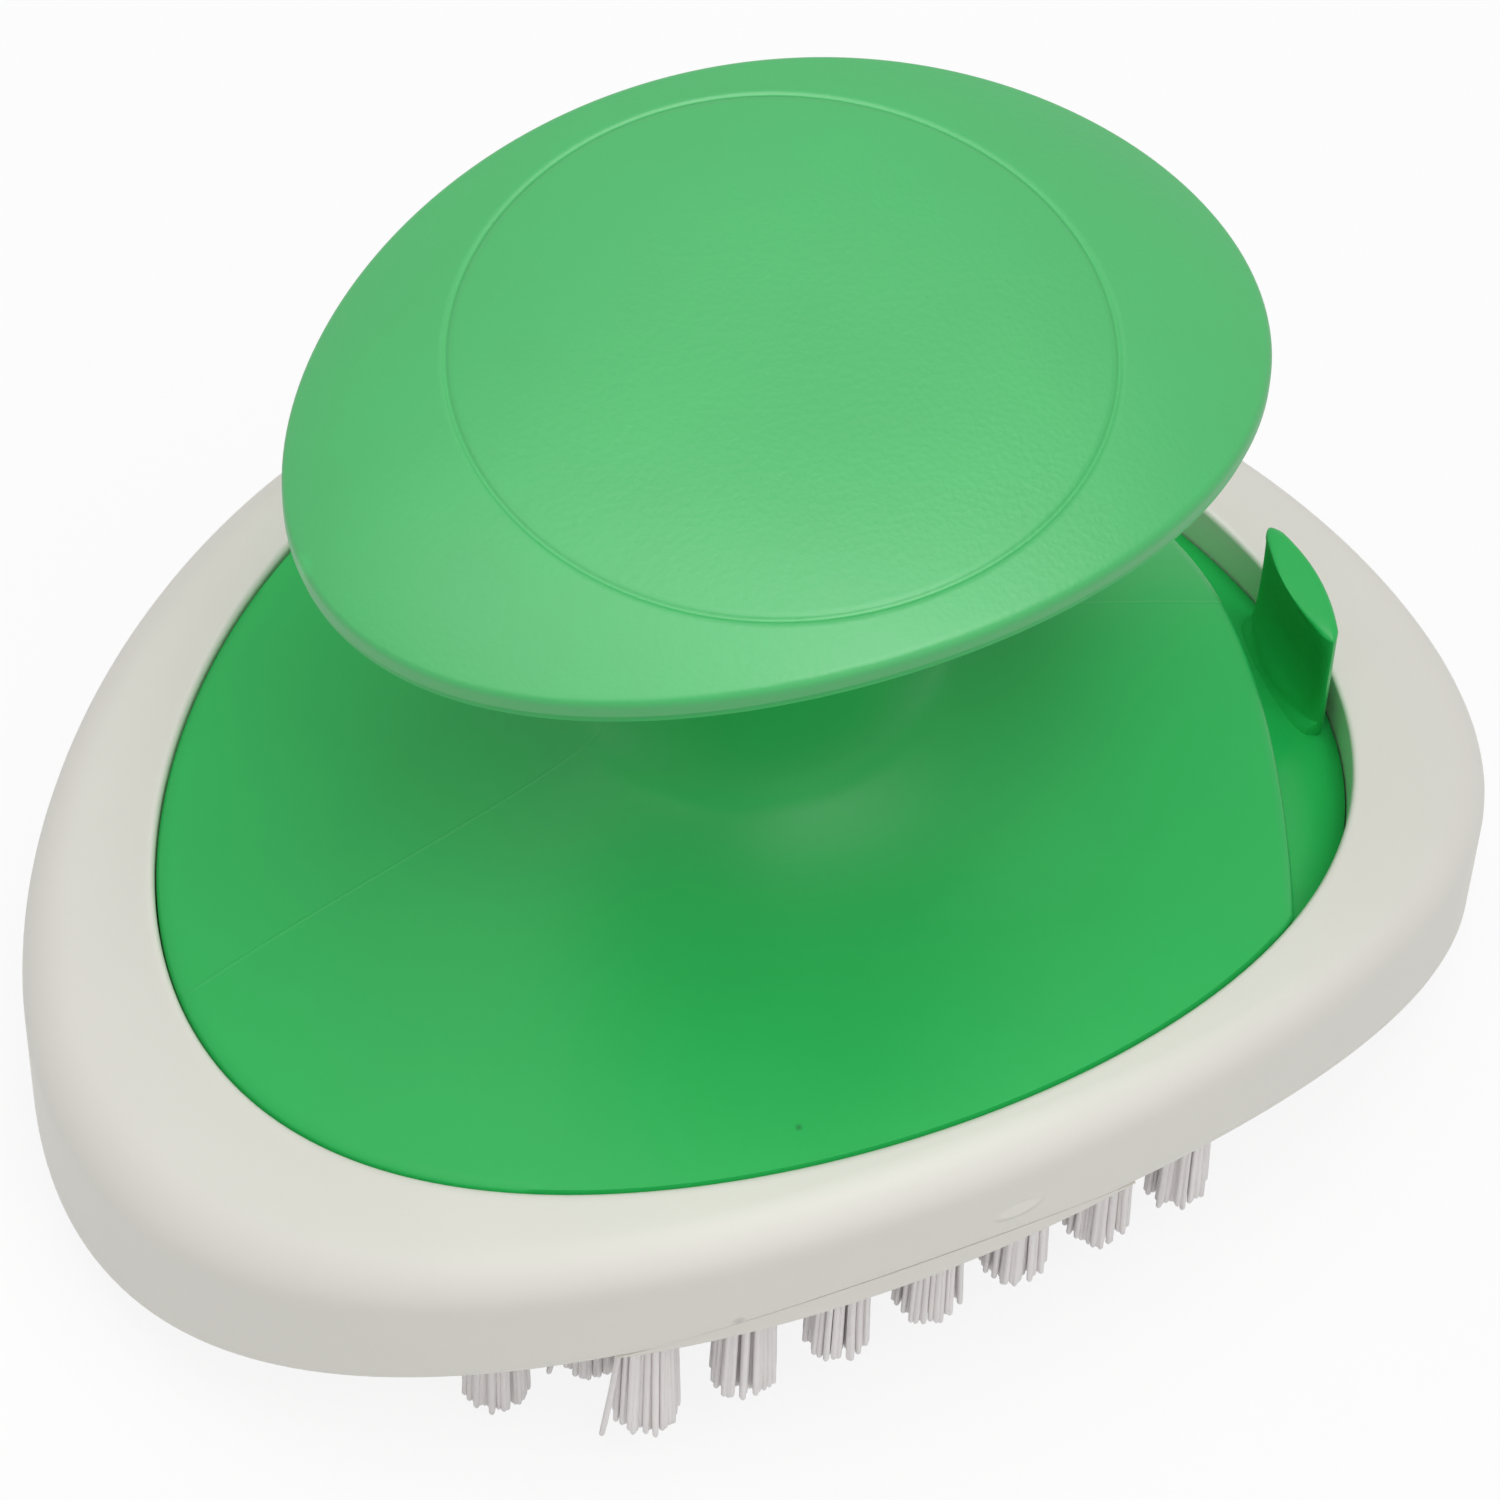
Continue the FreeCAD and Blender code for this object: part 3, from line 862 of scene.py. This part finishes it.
def place_camera():
    """The photograph's camera."""
    azimuth, elevation, roll = (math.radians(angle) for angle in CAMERA_TURN)
    target = Vector((CAMERA_AIM[0] - BASE_CENTRE, CAMERA_AIM[1], frame_crown)) * MM
    back = Vector((math.sin(azimuth) * math.cos(elevation), -math.cos(azimuth) * math.cos(elevation),
                   math.sin(elevation)))
    right = Vector((math.cos(azimuth), math.sin(azimuth), 0.0))
    up = back.cross(right)
    across = right * math.cos(roll) + up * math.sin(roll)
    upward = up * math.cos(roll) - right * math.sin(roll)
    lens = bpy.data.cameras.new("camera")
    lens.lens = CAMERA_LENS
    lens.sensor_width = CAMERA_SENSOR
    lens.clip_start = 0.01
    lens.clip_end = 20.0
    camera = bpy.data.objects.new("camera", lens)
    turn = Matrix((across, upward, back)).transposed().to_4x4()
    camera.matrix_world = Matrix.Translation(target + back * CAMERA_DISTANCE) @ turn
    scene.collection.objects.link(camera)
    scene.camera = camera


def softbox(name, place, size, power):
    """A soft square lamp that points at the brush."""
    lamp = bpy.data.lights.new(name, "AREA")
    lamp.energy = power
    lamp.size = size
    holder = bpy.data.objects.new(name, lamp)
    way = (Vector(place) - Vector(LAMP_AIM)).to_track_quat("Z", "Y")
    holder.matrix_world = Matrix.Translation(Vector(place)) @ way.to_matrix().to_4x4()
    scene.collection.objects.link(holder)


def seen_directly(graph):
    """1 for what the camera sees straight, in a reflection or through glass."""
    path = graph.node("ShaderNodeLightPath", out="Is Camera Ray")
    return path + path.also("Is Glossy Ray") + path.also("Is Transmission Ray")


def place_studio():
    """A pale floor that keeps a soft shadow, a white surround and soft lamps."""
    corners = [(-FLOOR_HALF, -FLOOR_HALF, 0), (FLOOR_HALF, -FLOOR_HALF, 0),
               (FLOOR_HALF, FLOOR_HALF, 0), (-FLOOR_HALF, FLOOR_HALF, 0)]
    mesh = bpy.data.meshes.new("floor")
    mesh.from_pydata(corners, [], [(0, 1, 2, 3)])
    floor = bpy.data.objects.new("floor", mesh)
    scene.collection.objects.link(floor)
    paint = bpy.data.materials.new("floor_white")
    paint.use_nodes = True
    graph = Graph(paint.node_tree)
    cloud = graph.node("ShaderNodeTexNoise", inputs={"Scale": 3.0}, out="Fac")
    tones = {"Factor_Float": cloud, "A_Color": FLOOR_DARK, "B_Color": FLOOR_LIGHT}
    tone = graph.node("ShaderNodeMix", {"data_type": "RGBA"}, tones, out="Result_Color")
    matte = graph.node("ShaderNodeBsdfDiffuse", inputs={"Color": tone})
    glow = graph.node("ShaderNodeEmission", inputs={"Color": WHITE, "Strength": 1.0})
    share = seen_directly(graph) * FLOOR_GLOW
    mixed = graph.node("ShaderNodeMixShader", inputs={0: share, 1: matte, 2: glow})
    graph.node("ShaderNodeOutputMaterial", inputs={"Surface": mixed})
    mesh.materials.append(paint)

    world = bpy.data.worlds.new("studio")
    world.use_nodes = True
    scene.world = world
    graph = Graph(world.node_tree)
    sky = graph.node("ShaderNodeBackground", inputs={"Color": WHITE, "Strength": SKY_LIGHT})
    white = graph.node("ShaderNodeBackground", inputs={"Color": WHITE, "Strength": 1.0})
    both = graph.node("ShaderNodeMixShader", inputs={0: seen_directly(graph), 1: sky, 2: white})
    graph.node("ShaderNodeOutputWorld", inputs={"Surface": both})

    for lamp in LAMPS:
        softbox(*lamp)


place_camera()
place_studio()
green_cap = cap_plastic()
green_body = body_plastic()
white_frame = frame_plastic()
white_nylon = nylon()

dress(make_frame(), white_frame, "brush", "white_frame", "frame_ring")
dress(make_handle(), green_body, "brush", "green_body", "handle_body")
dress(make_cap(), green_cap, "brush", "green_cap", "palm_cap")
dress(make_tab(), green_body, "latch", "green_body", "latch_tab")
grow, grow_inputs = bristle_tree(white_nylon)
for number, row in enumerate(rows, start=1):
    bristles = make_bristles(number, row, grow, grow_inputs)
    dress(bristles, white_nylon, "brush", "bristle_nylon", "tuft_row_%02d" % number)
for name, material in (("bristle_plate", white_frame), ("tuft_anchors", wire_steel())):
    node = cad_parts[name]
    node.data.materials.clear()
    node.data.materials.append(material)

scene.view_settings.view_transform = "Standard"
